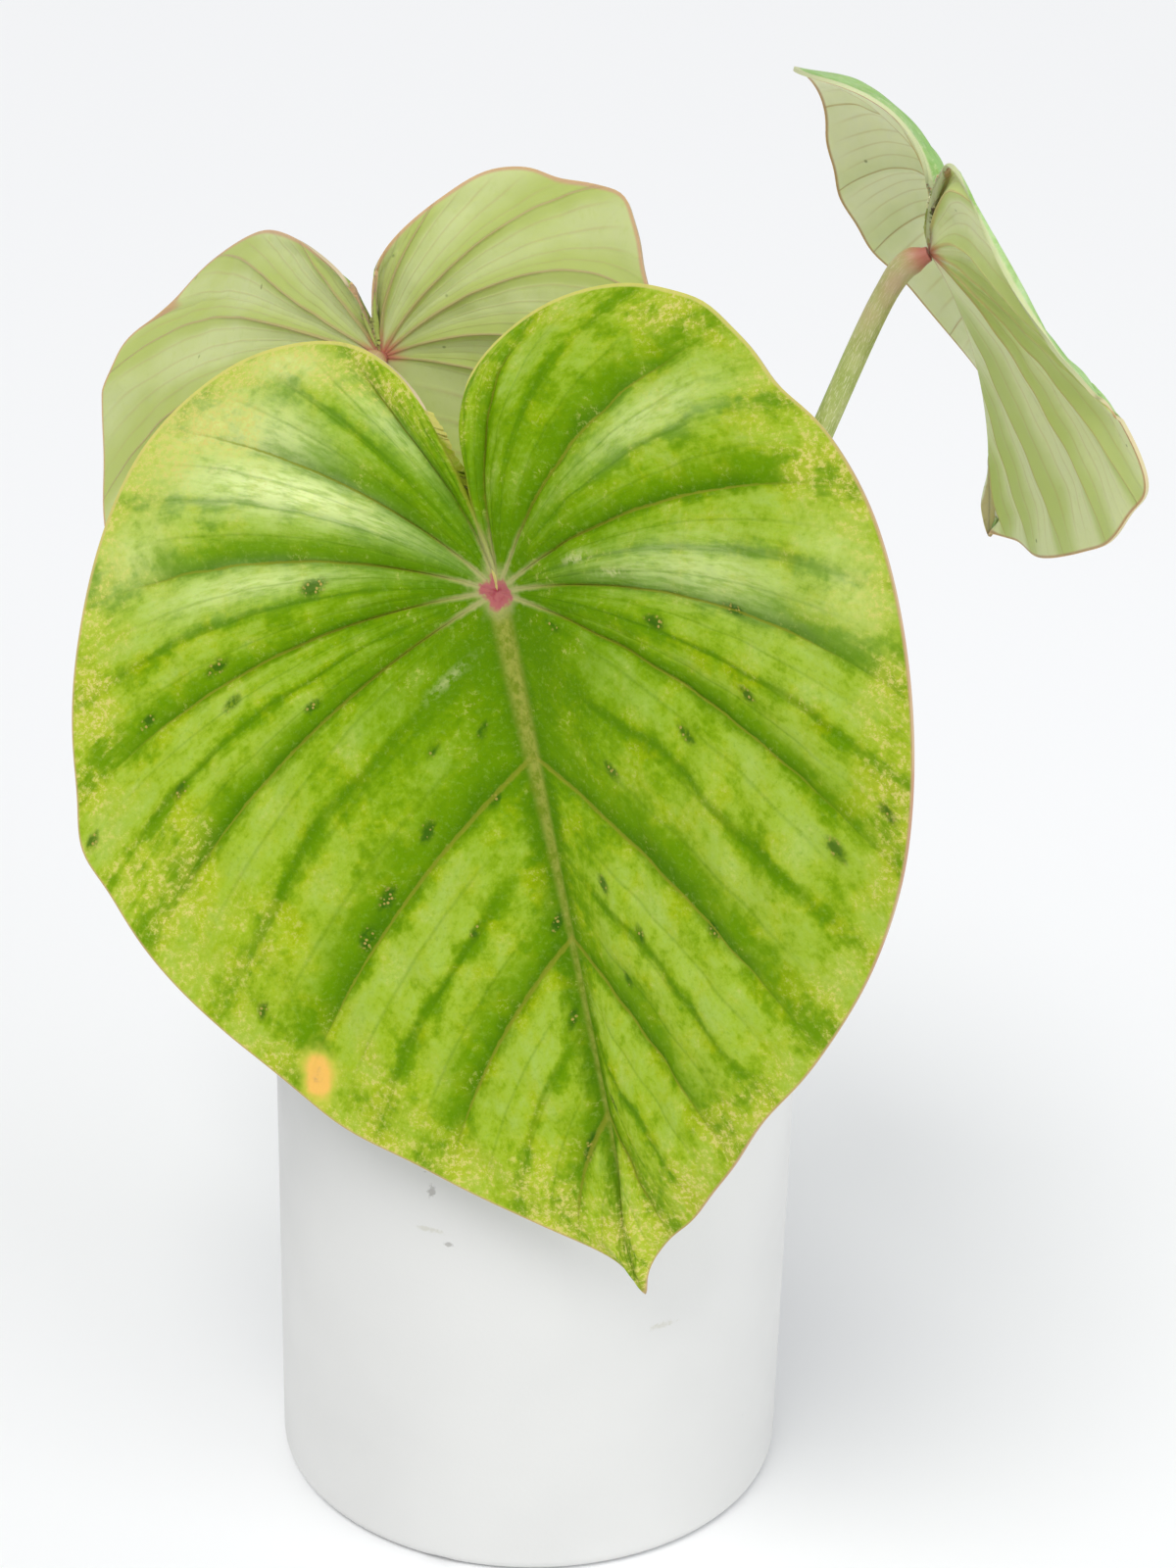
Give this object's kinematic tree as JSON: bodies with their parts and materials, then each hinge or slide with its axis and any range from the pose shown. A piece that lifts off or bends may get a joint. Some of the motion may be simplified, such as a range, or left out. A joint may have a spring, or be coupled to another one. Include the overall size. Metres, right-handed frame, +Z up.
{
  "type": "potted philodendron pastazanum",
  "caption": "Young heart-leaved creeping aroid with quilted blades on slender stalks, rooted in soil in a plain white cylinder pot.",
  "frame": {"origin": "centre of the pot's flat base, on the surface it stands on", "axes": "+Z up, -Y towards the viewer of the large front leaf, +X to that viewer's right"},
  "size_m": [0.2392, 0.2072, 0.3423],
  "materials": {
    "pot_ceramic": "matte white glaze with fine scuffs",
    "potting_soil": "loose dark potting mix of bark and coir",
    "stem": "green-brown stem with leaf scars",
    "stalk": "smooth green stalk with pale streaks, red at the top",
    "leaf": "quilted lime-green upper face, pale matte underside"
  },
  "bodies": {
    "root": {"pot": "pot_ceramic", "soil": "potting_soil", "rhizome": "stem", "petiole_front": "stalk", "petiole_back": "stalk", "petiole_right": "stalk", "blade_front": "leaf", "blade_back": "leaf", "blade_right": "leaf"}
  },
  "joints": []
}
